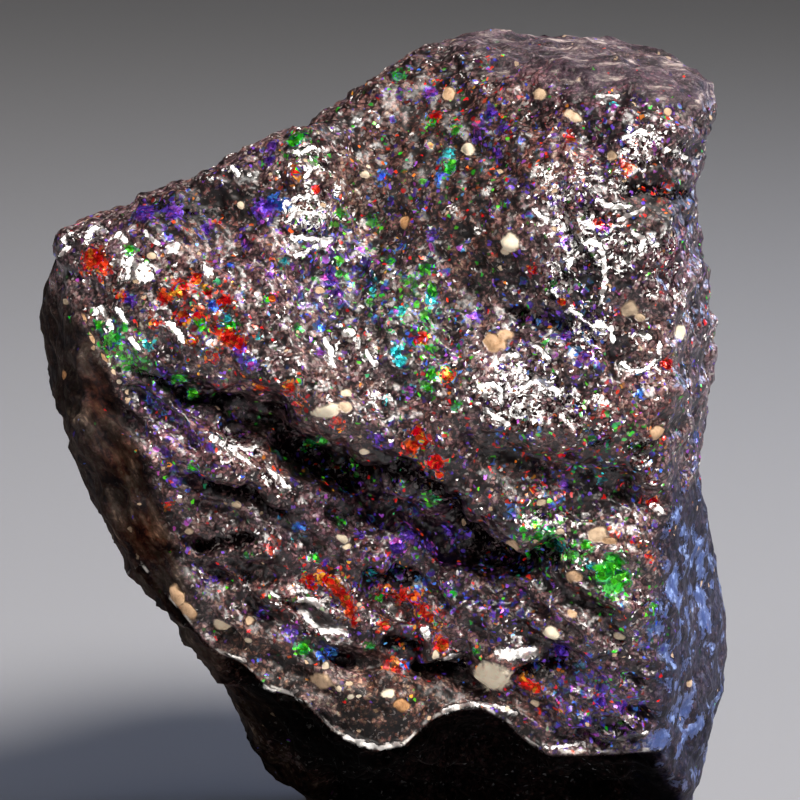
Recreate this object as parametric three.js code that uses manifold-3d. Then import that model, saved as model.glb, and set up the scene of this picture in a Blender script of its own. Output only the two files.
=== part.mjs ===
// A rough piece of matrix opal: one broken lump of dark host rock with opal all through it.
//
// It stands on a small worn foot. A thick brow runs down across its front from the left, and the
// rock under the brow is broken back in ledges that follow the grain of the stone. The left wing
// and the lower front overhang the foot, the top is a flat break, and the back is large plain
// breaks with shell-shaped chips out of them.
//
// Millimetres. X to the right, Y away from the front, Z up.

import * as THREE from 'three';
import { ImprovedNoise } from 'three/addons/math/ImprovedNoise.js';
import kernel from 'manifold-3d';

// ---- Driving dimensions -------------------------------------------------------------------

const HEIGHT = 47; // from the foot to the flat break on top
const LEAN = THREE.MathUtils.degToRad(12); // the front outline is drawn on a plane that leans back
const FRONT = 10; // how far the plain front stands out from the middle of the stone
const GRAIN_SLANT = 0.24; // ledges undercut the rock by this much for each millimetre they go in

const DEPTH = 32; // about how deep the stone is from front to back
const TRIANGLE_EDGE = 1.8; // the longest triangle edges at the middle of the depth
const FRONT_FINER = 0.6; // how much the triangles shrink over the depth, towards the front
const RELAX_ROUNDS = 8;
const FOOT_FLAT = 0.2; // points this near the ground are put on it

// The edge of the stone seen from the front, clockwise from the tip of the left wing: X, and the
// height on the leaning plane.
const OUTLINE = [
  [-21.0, 32.6], [-19.8, 33.9], [-17.2, 35.0], [-11.8, 37.5], [-7.4, 40.0], [-4.0, 41.1],
  [-0.4, 43.9], [2.6, 46.2], [7.0, 47.8], [11.6, 48.2], [15.4, 47.0], [18.2, 44.8], [19.4, 42.0],
  [17.8, 39.8], [17.6, 36.8], [18.1, 33.5], [18.6, 29.0], [18.7, 24.0], [18.3, 20.8],
  [19.2, 17.0], [20.3, 13.2], [20.0, 9.6], [18.8, 5.6], [18.1, 1.6], [17.2, -3.0],
  [6.0, -4.5], [-5.2, -3.0], [-5.6, 1.2], [-7.4, 5.6], [-9.8, 10.0], [-12.6, 14.0],
  [-15.2, 17.6], [-16.8, 20.6], [-18.2, 24.2], [-20.3, 28.4],
];

// Breaks: plain planes that cut the stone, each by the way it faces, a point on it and how far
// its edges are rounded over.
const BREAKS = [
  { name: 'top', faces: [0.11, 0.02, 1], at: [7, 0, HEIGHT], round: 1.2 },
  { name: 'top back', faces: [0.2, 0.8, 0.55], at: [10, 11, 43], round: 2 },
  { name: 'left side', faces: [-0.985, -0.17, 0], at: [-18.2, -8, 28], round: 1.2 },
  { name: 'lower right side', faces: [0.95, -0.31, -0.02], at: [16.3, -10, 11], round: 1.2 },
  { name: 'under the left wing', faces: [-0.53, -0.45, -0.72], at: [-10.3, -10, 12.4], round: 0.9 },
  { name: 'under the front', faces: [0.02, -0.66, -0.75], at: [8, -11, 6.4], round: 0.7 },
  { name: 'back', faces: [0.16, 0.97, 0.12], at: [4, 17, 24], round: 2 },
  { name: 'back left', faces: [-0.62, 0.75, 0.22], at: [-11.5, 9, 30], round: 2 },
  { name: 'back right', faces: [0.8, 0.6, -0.1], at: [16, 11, 20], round: 2 },
  { name: 'low back', faces: [-0.1, 0.72, -0.68], at: [4, 14, 6], round: 1.6 },
  { name: 'low left back', faces: [-0.6, 0.35, -0.72], at: [-12.5, 8, 10], round: 2 },
];

// Ledges: on each, the rock below a line along the front is broken back, deepest just under the
// line and coming out again over its reach. Lines are X and height on the leaning plane.
const LEDGES = [
  {
    name: 'under the brow',
    line: [
      [-17.4, 27.9], [-13.0, 27.2], [-8.8, 26.0], [-5.2, 24.2], [-1.6, 22.2], [2.0, 20.1],
      [5.6, 18.1], [9.6, 16.1], [13.6, 14.6],
    ],
    depth: 3.6,
    reach: 5.6,
  },
  {
    name: 'left rib',
    line: [[-12.2, 21.6], [-7.2, 20.1], [-3.4, 18.4], [0.4, 16.8]],
    depth: 1.6,
    reach: 2.6,
  },
  {
    name: 'left slot',
    line: [[-13.4, 17.6], [-10.0, 17.7], [-6.6, 16.2]],
    depth: 1.4,
    reach: 2.0,
  },
  {
    name: 'middle pit',
    line: [[-2.6, 15.4], [0.6, 15.4], [3.4, 14.2]],
    depth: 1.6,
    reach: 2.0,
  },
  {
    name: 'low shelf',
    line: [[-3.6, 11.9], [0.8, 11.5], [3.6, 10.5], [6.6, 9.9]],
    depth: 1.5,
    reach: 1.8,
  },
  {
    name: 'low dish',
    line: [[4.0, 10.4], [7.6, 10.0], [11.4, 10.9]],
    depth: 1.4,
    reach: 2.2,
  },
  {
    name: 'right rib',
    line: [[3.2, 24.2], [7.4, 23.7], [10.4, 22.6], [14.0, 21.0], [17.4, 19.4]],
    depth: 1.7,
    reach: 3.0,
  },
  {
    name: 'hump dent',
    line: [[6.0, 30.9], [9.4, 30.4], [11.8, 29.2]],
    depth: 1.1,
    reach: 2.0,
  },
  {
    name: 'high slot',
    line: [[11.4, 39.2], [15.2, 38.6], [19.2, 38.2]],
    depth: 1.3,
    reach: 2.0,
  },
];

// Swells and hollows of the front: X and height of the middle, half widths, how many degrees they
// are turned, and how far they stand out, or in where that is negative.
const SWELLS = [
  { name: 'hump', at: [13.5, 36.4], half: [6.8, 8.5], turn: 0, out: 4.2 },
  { name: 'left of the crest', at: [2.5, 46.0], half: [5.0, 6.0], turn: 0, out: -3.6 },
  { name: 'valley', at: [-0.6, 36.5], half: [8.0, 2.2], turn: 72, out: -1.9 },
  { name: 'wing ridge', at: [-5.0, 36.6], half: [5.6, 2.0], turn: 70, out: 1.6 },
  { name: 'wing', at: [-12.0, 31.5], half: [4.8, 3.0], turn: 14, out: 1.2 },
  { name: 'brow', at: [-2.0, 26.2], half: [8.0, 3.0], turn: -26, out: 1.3 },
  { name: 'right rib', at: [8.0, 26.4], half: [4.8, 2.2], turn: -14, out: 1.7 },
  { name: 'lower rib', at: [-9.6, 22.6], half: [5.0, 1.9], turn: -40, out: 1.8 },
  { name: 'left lobe', at: [-1.0, 7.4], half: [3.4, 3.2], turn: 0, out: 1.3 },
  { name: 'right lobe', at: [12.2, 7.0], half: [4.2, 2.6], turn: 0, out: 0.9 },
  { name: 'lower belly', at: [9.0, 13.2], half: [6.0, 2.6], turn: -20, out: 1.0 },
];

// Scoops out of the stone: the notch in the lower edge of the front, and shell-shaped chips off
// the sides and back. Each is the middle and half widths of an egg that is taken away.
const SCOOPS = [
  { name: 'notch', at: [5.4, -11.5, 3.4], half: [3.6, 6, 5.4], round: 0.8 },
  { name: 'under the front', at: [5, -12.2, 0], half: [14, 8.7, 6.3], round: 0.6 },
  { name: 'back chip', at: [-2, 25.5, 33], half: [12, 11, 11], round: 1.2 },
  { name: 'low back chip', at: [9, 24.5, 13], half: [13, 11, 10], round: 1.2 },
  { name: 'left back chip', at: [-21, 13.5, 21], half: [9, 9, 10], round: 1.2 },
  { name: 'right chip', at: [29, 8, 31], half: [12, 11, 9], round: 1.2 },
  { name: 'top chip', at: [-8, 12, 48], half: [9, 9, 7.5], round: 1.2 },
];

// Lumps all over, and low ridges on the front that run with the grain.
const LUMPS = [
  { wavelength: 9, height: 0.8 },
  { wavelength: 4.6, height: 0.5 },
  { wavelength: 2.4, height: 0.22 },
];
const RIDGES = { turn: -30, length: 9, width: 2.6, height: 1.1 };

// The edges of the ledges wander by this much, over this length.
const WANDER = { length: 4.2, reach: 1.1 };

// ---- Small maths --------------------------------------------------------------------------

const noise = new ImprovedNoise();
const smoothstep = THREE.MathUtils.smoothstep;

// The larger of a and b, with the corner between them rounded over a width.
function roundedMax(a, b, width) {
  const overlap = Math.max(width - Math.abs(a - b), 0) / width;
  return Math.max(a, b) + (overlap * overlap * width) / 4;
}

// Distance from (x, y) to a line of points, positive on its right-hand side as it runs, with how
// far along the line the nearest point is, from 0 to 1.
function besideLine(points, x, y) {
  let best = Infinity;
  let side = 0;
  let along = 0;
  for (let i = 0; i + 1 < points.length; i++) {
    const [ax, ay] = points[i];
    const dx = points[i + 1][0] - ax;
    const dy = points[i + 1][1] - ay;
    const t = THREE.MathUtils.clamp(((x - ax) * dx + (y - ay) * dy) / (dx * dx + dy * dy), 0, 1);
    const ox = x - ax - dx * t;
    const oy = y - ay - dy * t;
    const away = Math.hypot(ox, oy);
    if (away < best) {
      best = away;
      side = Math.sign(dy * ox - dx * oy) || 1;
      along = (i + t) / (points.length - 1);
    }
  }
  return { away: best * side, along };
}

// A point in axes that are turned by some degrees.
function turned(x, y, degrees) {
  const cos = Math.cos(THREE.MathUtils.degToRad(degrees));
  const sin = Math.sin(THREE.MathUtils.degToRad(degrees));
  return [x * cos + y * sin, y * cos - x * sin];
}

// Points along a smooth curve through the given ones.
function smoothLine(points, closed, steps) {
  const curve = new THREE.CatmullRomCurve3(
    points.map(([x, y]) => new THREE.Vector3(x, y, 0)), closed, 'centripetal');
  return curve.getPoints(steps).map((p) => [p.x, p.y]);
}

// ---- The stone as a field: negative inside, zero on its surface -----------------------------

const outline = smoothLine(OUTLINE, true, 72);
const ledges = LEDGES.map((ledge) => ({ ...ledge, line: smoothLine(ledge.line, false, 12) }));
const breaks = BREAKS.map(({ faces, at, round }) => {
  const normal = new THREE.Vector3(...faces).normalize();
  return { normal, offset: normal.dot(new THREE.Vector3(...at)), round };
});

function outlineDistance(x, w) {
  let inside = false;
  for (let i = 0; i + 1 < outline.length; i++) {
    const [ax, aw] = outline[i];
    const [bx, bw] = outline[i + 1];
    if (aw > w !== bw > w && x < ((bx - ax) * (w - aw)) / (bw - aw) + ax) inside = !inside;
  }
  const away = Math.abs(besideLine(outline, x, w).away);
  return inside ? -away : away;
}

// How far the front stands out at X and a height on the leaning plane.
function frontHeight(plainX, plainW) {
  const { length, reach } = WANDER;
  const x = plainX + reach * noise.noise(plainX / length, plainW / length, 1.3);
  const w = plainW + reach * noise.noise(plainX / length, plainW / length, 8.6);
  const upper = FRONT + 1.8 - 0.42 * Math.max(w - 25, 0) - 0.25 * Math.max(-x - 12, 0);
  const lower = FRONT + 0.2 + 0.03 * (w - 12);
  const underBrow = 1 - smoothstep(w + 0.55 * x, 14, 23);
  let height = THREE.MathUtils.lerp(upper, lower, underBrow);
  for (const { at, half, turn, out } of SWELLS) {
    const [along, across] = turned(x - at[0], w - at[1], turn);
    height += out * Math.exp(-((along / half[0]) ** 2) - (across / half[1]) ** 2);
  }
  for (const { line, depth, reach } of ledges) {
    const { away, along } = besideLine(line, x, w);
    const under = smoothstep(away, -1.0, 0.7) * (1 - smoothstep(away, 0.7, reach));
    const ends = smoothstep(along, 0, 0.3) * (1 - smoothstep(along, 0.7, 1));
    height -= depth * under * ends;
  }
  const [withGrain, acrossGrain] = turned(x, w, RIDGES.turn);
  const ridge = 1 - 2 * Math.abs(noise.noise(withGrain / RIDGES.length, acrossGrain / RIDGES.width, 4.7));
  return height + RIDGES.height * ridge * (0.35 + 0.65 * underBrow);
}

// How far the middle of an egg-shaped scoop is from (x, y, z), as a field that is positive in it.
function inScoop({ at, half }, x, y, z) {
  const away = Math.hypot((x - at[0]) / half[0], (y - at[1]) / half[1], (z - at[2]) / half[2]);
  return (1 - away) * Math.min(...half);
}

function lumps(x, y, z) {
  let height = 0;
  for (const layer of LUMPS) {
    const size = layer.wavelength;
    height += layer.height * noise.noise(x / size + 7.3, y / size + 2.1, z / size);
  }
  return height;
}

function stoneField(x, y, z) {
  const w = z * Math.cos(LEAN) + y * Math.sin(LEAN);
  const slanted = w - GRAIN_SLANT * (y + FRONT);
  let field = outlineDistance(x, w);
  if (y < 0) field = roundedMax(field, -frontHeight(x, slanted) - y, 1.2);
  for (const { normal, offset, round } of breaks) {
    field = roundedMax(field, normal.x * x + normal.y * y + normal.z * z - offset, round);
  }
  for (const scoop of SCOOPS) field = roundedMax(field, inScoop(scoop, x, y, z), scoop.round);
  return Math.max(field + lumps(x, y, z), -z);
}

// ---- The surface of the field, as triangles -------------------------------------------------

const solids = await kernel();
solids.setup();

// The triangles are made in a copy of space that is drawn out in front and drawn in behind, so
// that they come out finer on the ledged front. The grid covers the whole stone in that space.
const drawnOut = (y) => 1 - (FRONT_FINER * y) / DEPTH;
const GRID = { min: [-32, -20, -2], max: [32, 22, 62] };

// The field at p, with its slope written to target.
function fieldAndSlope(p, target) {
  const h = 0.05;
  const here = stoneField(p.x, p.y, p.z);
  target.set(
    stoneField(p.x + h, p.y, p.z) - here,
    stoneField(p.x, p.y + h, p.z) - here,
    stoneField(p.x, p.y, p.z + h) - here,
  ).divideScalar(h);
  return here;
}

function neighboursOf(index, count) {
  const near = Array.from({ length: count }, () => new Set());
  for (let i = 0; i < index.length; i += 3) {
    for (let k = 0; k < 3; k++) {
      near[index[i + k]].add(index[i + ((k + 1) % 3)]);
      near[index[i + k]].add(index[i + ((k + 2) % 3)]);
    }
  }
  return near.map((set) => [...set]);
}

// Evens out the triangles: each point slides along the surface to the middle of its neighbours.
function relax(points, index) {
  const near = neighboursOf(index, points.length);
  const slope = new THREE.Vector3();
  const pull = new THREE.Vector3();
  for (let round = 0; round < RELAX_ROUNDS; round++) {
    const before = points.map((p) => p.clone());
    points.forEach((p, i) => {
      pull.set(0, 0, 0);
      near[i].forEach((j) => pull.add(before[j]));
      p.addScaledVector(pull.divideScalar(near[i].length).sub(before[i]), 0.6);
      const off = fieldAndSlope(p, slope) / Math.max(slope.lengthSq(), 0.25);
      p.addScaledVector(slope, -THREE.MathUtils.clamp(off, -0.5, 0.5));
    });
  }
}

// The stone's surface, as even triangles with a truly flat foot.
function surface() {
  const drawnIn = ([x, y, z]) => [x / drawnOut(y), y, z / drawnOut(y)];
  const inside = (p) => -stoneField(...drawnIn(p));
  const { triVerts, vertProperties } =
    solids.Manifold.levelSet(inside, GRID, TRIANGLE_EDGE).getMesh();
  const points = [];
  for (let i = 0; i < vertProperties.length; i += 3) {
    points.push(new THREE.Vector3(...drawnIn(vertProperties.subarray(i, i + 3))));
  }
  relax(points, triVerts);
  for (const p of points) if (p.z < FOOT_FLAT) p.z = 0;
  const geometry = new THREE.BufferGeometry().setFromPoints(points);
  geometry.setIndex([...triVerts]);
  return geometry;
}

// Stands the stone with the middle of its box over the origin.
function stoneGeometry() {
  const geometry = surface();
  geometry.computeBoundingBox();
  const centre = geometry.boundingBox.getCenter(new THREE.Vector3());
  geometry.translate(-centre.x, -centre.y, 0);
  geometry.computeVertexNormals();
  return geometry;
}

const matrixRock = new THREE.MeshStandardMaterial({
  color: 0x4b4044, roughness: 0.35, metalness: 0, flatShading: true,
});

const stone = new THREE.Mesh(stoneGeometry(), matrixRock);
stone.name = 'opal_stone';

const group = new THREE.Group();
group.add(stone);
export default group;
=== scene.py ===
"""A rough piece of matrix opal: a broken lump of dark rock with pinpoint opal colour all through it.

The solid gives the stone its form. Here its surface gets the broken grain, the ribs, pits and cream
grains of the rock, and one finish: dark glassy rock, flecks of opal, and the duller skin of the old
breaks at the left and behind, which below the lip also stands in as painted shade. The finish paints
shade into the hollows and highlights on the glassy threads and the lip, and makes flecks and cream
grains emissive as painted light. Metres, Z up, with the front towards -Y.
"""

import math
from types import SimpleNamespace

import bmesh
import bpy
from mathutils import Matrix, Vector, noise
from mathutils.bvhtree import BVHTree


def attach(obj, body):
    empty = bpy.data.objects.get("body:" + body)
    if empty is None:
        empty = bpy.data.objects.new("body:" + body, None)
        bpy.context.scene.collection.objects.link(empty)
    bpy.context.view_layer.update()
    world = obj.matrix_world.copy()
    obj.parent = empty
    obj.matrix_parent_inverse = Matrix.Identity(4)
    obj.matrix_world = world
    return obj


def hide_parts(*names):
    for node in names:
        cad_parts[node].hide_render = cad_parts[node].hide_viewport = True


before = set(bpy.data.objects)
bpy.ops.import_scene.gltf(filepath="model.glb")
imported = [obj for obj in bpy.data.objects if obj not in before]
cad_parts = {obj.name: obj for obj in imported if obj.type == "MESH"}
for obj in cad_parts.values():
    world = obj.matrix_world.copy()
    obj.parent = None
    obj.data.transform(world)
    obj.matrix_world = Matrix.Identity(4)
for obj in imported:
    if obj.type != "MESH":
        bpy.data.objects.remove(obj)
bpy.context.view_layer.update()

NOISE_SEED = 11
MM = 0.001

noise.seed_set(NOISE_SEED)

# ---- The camera -------------------------------------------------------------------------------

VIEW_UNITS = 800  # the front view is this many units across and down
UNIT = 0.06 * MM  # size of one of them at the middle of the stone
ELEVATION = math.radians(12)
AIM = Vector((0.6, 5.2, 24.45)) * MM
DISTANCE = 320 * MM
SENSOR = 36  # millimetres across

RIGHTWARDS = Vector((1, 0, 0))
UPWARDS = Vector((0, math.sin(ELEVATION), math.cos(ELEVATION)))
TOWARDS_EYE = Vector((0, -math.cos(ELEVATION), math.sin(ELEVATION)))
EYE = AIM + TOWARDS_EYE * DISTANCE


def add_camera():
    lens = bpy.data.cameras.new("front_camera")
    lens.sensor_width = SENSOR
    lens.lens = SENSOR * DISTANCE / (VIEW_UNITS * UNIT)
    lens.clip_start = 0.01
    lens.clip_end = 20
    camera = bpy.data.objects.new("front_camera", lens)
    camera.location = EYE
    camera.rotation_euler = TOWARDS_EYE.to_track_quat("Z", "Y").to_euler()
    bpy.context.scene.collection.objects.link(camera)
    bpy.context.scene.camera = camera


def in_view(point):
    """Where a point shows in the front view: across, down and nearer, in its units."""
    offset = point - EYE
    off = -offset.dot(TOWARDS_EYE)
    scale = DISTANCE / (off * UNIT)
    middle = VIEW_UNITS / 2
    across = middle + offset.dot(RIGHTWARDS) * scale
    return across, middle - offset.dot(UPWARDS) * scale, (DISTANCE - off) / UNIT


def seen_at(surface, across, down):
    """The point of a surface that shows at a place in the front view."""
    middle = VIEW_UNITS / 2
    on_plane = AIM + (RIGHTWARDS * (across - middle) + UPWARDS * (middle - down)) * UNIT
    place, _, _, _ = surface.ray_cast(EYE, (on_plane - EYE).normalized())
    return place


# ---- What grows where, in units of the front view ---------------------------------------------

# Grains grown into the rock: across, down, half width, half height, how far turned in degrees
# and how pale, from tan to cream.
GRAINS = [
    (510, 242, 10, 9, 20, 1.0), (504, 252, 5, 4, 0, 0.8), (326, 411, 14, 7, -10, 1.0),
    (345, 406, 7, 5, 30, 0.6), (347, 393, 6, 5, 0, 0.85), (492, 676, 19, 14, 0, 1.0),
    (388, 693, 8, 5, 0, 1.0), (322, 681, 12, 7, 15, 0.5), (325, 665, 4, 4, 0, 0.9),
    (222, 624, 9, 6, 0, 0.85), (249, 620, 5, 4, 0, 0.5), (177, 595, 6, 12, -20, 0.35),
    (188, 611, 5, 11, -40, 0.35), (514, 545, 9, 6, 0, 0.5), (573, 577, 9, 6, 0, 0.35),
    (598, 535, 11, 8, -10, 0.55), (610, 541, 7, 4, 0, 0.3), (551, 633, 8, 7, 0, 0.95),
    (494, 343, 12, 9, 25, 0.3), (506, 335, 8, 6, 0, 0.35), (629, 308, 9, 8, 20, 0.6),
    (640, 318, 5, 4, 0, 0.6), (468, 149, 7, 6, 20, 0.85), (540, 94, 8, 6, 0, 0.5), (449, 94, 7, 8, 0, 0.35),
    (573, 116, 10, 5, 20, 0.55), (342, 538, 6, 4, 0, 0.9), (347, 546, 5, 4, 0, 0.8),
    (435, 655, 5, 4, 0, 0.9), (364, 452, 5, 4, 0, 0.85), (658, 433, 9, 7, -10, 0.35),
    (680, 332, 6, 8, 20, 0.95), (402, 705, 9, 6, 0, 0.1), (351, 697, 4, 3, 0, 1.0),
    (338, 688, 4, 3, 0, 0.8), (350, 684, 4, 3, 0, 0.6), (248, 640, 4, 3, 0, 0.8), (365, 174, 5, 4, 0, 0.8),
    (241, 206, 4, 4, 0, 0.8), (152, 255, 5, 4, 0, 0.6), (235, 505, 5, 4, 0, 0.6), (188, 531, 5, 4, 0, 0.6),
    (541, 502, 5, 4, 0, 0.6), (560, 531, 5, 4, 0, 0.7), (405, 222, 5, 7, 0, 0.1), (572, 614, 6, 4, 0, 0.4),
    (620, 636, 6, 4, 20, 0.8), (536, 703, 5, 4, 0, 0.7), (84, 318, 2, 5, -25, 0.2),
    (93, 338, 2, 7, -30, 0.3), (104, 357, 2.2, 6, -35, 0.2), (114, 372, 2.4, 4, -30, 0.6),
    (119, 381, 3, 3, 0, 0.9), (66, 302, 4, 3, 0, 0.7), (63, 375, 3, 6, 0, 0.1), (127, 392, 2.4, 3, 0, 0.6),
    (668, 112, 5, 4, 0, 0.4), (612, 156, 6, 5, 0, 0.5), (320, 290, 5, 4, 0, 0.4), (690, 683, 5, 4, 0, 0.5),
]

# Flecks of opal that stand out: across, down, half width and how strong.
SPOTS = {
    "red": [
        (94, 258, 12, 1.0), (104, 268, 10, 0.9), (87, 268, 8, 0.8), (165, 296, 9, 0.9), (180, 288, 11, 0.9),
        (196, 280, 8, 0.9), (207, 290, 7, 0.9), (182, 318, 10, 0.8), (198, 314, 8, 0.7), (225, 302, 8, 0.9),
        (228, 337, 10, 1.0), (240, 342, 9, 0.9), (218, 328, 8, 0.7), (192, 341, 7, 0.9), (155, 322, 7, 0.8),
        (212, 360, 9, 0.6), (272, 298, 6, 1.0), (316, 189, 6, 1.0), (296, 172, 7, 0.8), (220, 223, 6, 0.8),
        (435, 117, 6, 0.9), (532, 270, 6, 1.0), (570, 138, 7, 0.7), (625, 168, 8, 0.7), (448, 375, 8, 0.8),
        (423, 339, 7, 0.8), (562, 302, 5, 0.9), (617, 312, 5, 0.7), (668, 364, 8, 0.8), (600, 224, 5, 1.0),
        (418, 432, 8, 0.9), (411, 447, 9, 0.9), (423, 441, 7, 1.0), (435, 462, 10, 1.0), (440, 475, 6, 0.9),
        (338, 422, 9, 0.6), (300, 405, 8, 0.7), (260, 388, 8, 0.8), (290, 388, 8, 0.8), (272, 545, 9, 0.5),
        (322, 577, 8, 1.0), (331, 583, 9, 1.0), (339, 591, 9, 1.0), (346, 600, 8, 1.0), (351, 611, 7, 1.0),
        (354, 621, 6, 1.0), (312, 584, 7, 0.9), (640, 182, 7, 0.2), (652, 190, 7, 0.25), (668, 186, 7, 0.3),
        (682, 196, 7, 0.25), (690, 207, 6, 0.2), (664, 200, 7, 0.2), (414, 598, 7, 1.0), (430, 618, 7, 0.8),
        (308, 580, 7, 0.8), (385, 590, 9, 0.6), (401, 597, 9, 0.8), (420, 612, 9, 0.9), (385, 625, 7, 0.8),
        (395, 668, 11, 0.7), (441, 645, 9, 1.0), (436, 625, 7, 0.6), (525, 681, 8, 1.0), (536, 687, 7, 0.9),
        (652, 502, 8, 1.0), (650, 556, 6, 0.9), (535, 492, 7, 0.5), (612, 533, 7, 0.5), (635, 540, 7, 0.6),
        (168, 508, 6, 0.7), (560, 712, 7, 0.4), (283, 190, 5, 0.5), (120, 298, 6, 0.7), (445, 400, 6, 0.4),
    ],
    "green": [
        (130, 250, 6, 1.0), (202, 323, 6, 1.0), (232, 325, 6, 0.8), (298, 330, 5, 0.9), (295, 140, 9, 0.9),
        (306, 134, 6, 0.8), (98, 325, 6, 0.9), (110, 344, 12, 0.6), (124, 357, 14, 0.6),
        (142, 366, 11, 0.5), (344, 214, 7, 0.7), (314, 160, 5, 0.7), (178, 378, 7, 1.0), (192, 394, 7, 1.0),
        (450, 168, 7, 1.0), (432, 123, 5, 0.7), (455, 130, 6, 0.7), (400, 75, 8, 0.6), (425, 270, 7, 0.6),
        (405, 278, 7, 0.6), (390, 262, 6, 0.7), (432, 290, 7, 0.8), (375, 222, 7, 0.7), (425, 318, 7, 0.6),
        (430, 350, 6, 0.6), (432, 374, 6, 0.7), (428, 388, 6, 0.8), (458, 405, 5, 0.9), (612, 563, 11, 1.0),
        (603, 575, 10, 1.0), (621, 578, 10, 1.0), (613, 588, 8, 1.0), (574, 555, 9, 0.6),
        (538, 537, 6, 0.9), (536, 525, 5, 0.9), (585, 545, 6, 0.8), (311, 442, 7, 1.0), (323, 440, 6, 0.9),
        (193, 468, 5, 1.0), (315, 557, 5, 0.9), (247, 556, 5, 0.6), (303, 648, 8, 1.0), (370, 647, 5, 0.9),
        (379, 598, 4, 1.0), (448, 593, 5, 0.9), (475, 650, 4, 0.9), (432, 502, 11, 0.35),
        (340, 522, 5, 0.6), (651, 609, 6, 0.6), (355, 470, 8, 0.3), (385, 140, 5, 0.5), (372, 300, 7, 0.5),
        (350, 330, 6, 0.4), (265, 300, 4, 0.6), (500, 205, 5, 0.4),
    ],
    "violet": [
        (272, 145, 6, 1.0), (268, 160, 6, 0.9), (144, 211, 12, 1.0), (174, 212, 10, 0.95),
        (207, 230, 6, 1.0), (264, 208, 12, 1.0), (330, 279, 9, 0.9), (339, 293, 6, 0.8), (245, 245, 5, 0.9),
        (270, 275, 5, 0.8), (320, 353, 5, 0.9), (130, 299, 6, 1.0), (240, 352, 8, 0.7), (250, 365, 8, 0.6),
        (163, 372, 7, 0.6), (430, 93, 7, 1.0), (403, 94, 6, 0.6), (492, 112, 7, 0.8), (505, 128, 6, 0.8),
        (498, 152, 6, 0.9), (425, 203, 5, 0.8), (433, 235, 6, 0.7), (480, 132, 11, 0.5), (580, 199, 5, 0.7),
        (565, 241, 8, 0.7), (565, 336, 6, 0.9), (585, 360, 9, 0.6), (475, 315, 8, 0.8), (605, 229, 6, 1.0),
        (600, 150, 6, 0.6), (670, 110, 7, 0.6), (705, 138, 6, 0.6), (510, 182, 6, 0.6), (528, 186, 6, 0.6),
        (398, 546, 9, 1.0), (410, 535, 8, 0.8), (430, 546, 7, 0.8), (448, 531, 8, 0.7), (360, 535, 5, 0.8),
        (160, 400, 9, 0.4), (195, 440, 7, 0.7), (165, 452, 7, 0.6), (175, 480, 8, 0.6), (210, 475, 8, 0.5),
        (410, 390, 6, 0.7), (380, 440, 11, 0.6), (560, 650, 8, 0.9), (565, 485, 6, 0.7), (600, 702, 9, 0.6),
        (621, 706, 8, 0.9), (585, 722, 8, 0.7), (560, 700, 7, 0.5), (450, 590, 8, 0.5), (500, 610, 10, 0.4),
        (208, 583, 7, 0.6), (262, 612, 6, 0.5), (290, 632, 8, 0.5), (421, 661, 4, 1.0), (326, 562, 4, 1.0),
        (365, 262, 7, 0.4), (390, 205, 7, 0.4), (455, 350, 7, 0.4), (320, 230, 5, 0.4), (640, 100, 8, 0.4),
        (545, 150, 7, 0.4),
    ],
    "blue": [
        (214, 306, 6, 1.0), (320, 327, 5, 0.9), (230, 265, 4, 0.9), (284, 206, 7, 0.9), (275, 196, 6, 0.8),
        (382, 177, 6, 0.9), (490, 116, 5, 0.8), (440, 178, 6, 0.8), (640, 395, 6, 0.7), (411, 341, 7, 0.6),
        (331, 652, 7, 1.0), (321, 656, 5, 0.9), (298, 526, 6, 0.9), (405, 665, 5, 0.6), (425, 585, 9, 0.3),
        (512, 512, 7, 0.6), (400, 245, 6, 0.4), (250, 362, 5, 0.5), (575, 352, 6, 0.5), (600, 700, 5, 0.6),
    ],
    "cyan": [
        (396, 352, 6, 1.0), (400, 361, 6, 1.0), (401, 311, 6, 0.9), (148, 344, 6, 0.9), (284, 262, 4, 0.9),
        (257, 335, 4, 0.9), (448, 154, 6, 0.8), (372, 285, 6, 0.7), (371, 573, 5, 0.9), (226, 318, 4, 0.9),
        (614, 104, 4, 0.9), (430, 300, 6, 0.6), (590, 566, 6, 0.6), (560, 545, 7, 0.5), (600, 478, 7, 0.4),
        (118, 336, 5, 0.5), (385, 400, 4, 0.7), (410, 385, 4, 0.6), (296, 540, 5, 0.5),
    ],
}

# Pools of small flecks: across, down, half width, then how much red, green, violet and blue.
POOLS = [
    (205, 312, 46, 0.16, 0.05, 0.04, 0.01), (335, 590, 30, 0.16, 0.03, 0.05, 0.0),
    (410, 622, 26, 0.25, 0.02, 0.04, 0.0), (430, 450, 24, 0.16, 0.04, 0.05, 0.0),
    (120, 345, 24, 0.02, 0.20, 0.02, 0.03), (410, 310, 46, 0.03, 0.12, 0.05, 0.04),
    (430, 365, 26, 0.06, 0.12, 0.03, 0.02), (550, 535, 34, 0.04, 0.26, 0.0, 0.04),
    (612, 573, 20, 0.0, 0.5, 0.0, 0.0), (300, 145, 22, 0.03, 0.2, 0.04, 0.0),
    (330, 250, 40, 0.0, 0.10, 0.16, 0.03), (170, 208, 30, 0.0, 0.0, 0.25, 0.03),
    (325, 290, 34, 0.02, 0.02, 0.18, 0.02), (170, 440, 40, 0.0, 0.02, 0.16, 0.01),
    (350, 470, 40, 0.01, 0.03, 0.04, 0.01), (400, 545, 34, 0.03, 0.01, 0.20, 0.02),
    (590, 700, 44, 0.02, 0.0, 0.18, 0.06), (500, 600, 40, 0.03, 0.0, 0.14, 0.04),
    (650, 620, 30, 0.0, 0.05, 0.10, 0.03), (480, 110, 50, 0.04, 0.02, 0.03, 0.01),
    (540, 465, 50, 0.05, 0.02, 0.05, 0.01), (560, 330, 50, 0.02, 0.03, 0.12, 0.02),
    (590, 160, 60, 0.03, 0.01, 0.08, 0.0), (450, 200, 60, 0.03, 0.03, 0.03, 0.01),
    (620, 440, 50, 0.06, 0.05, 0.04, 0.02),
]

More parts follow.
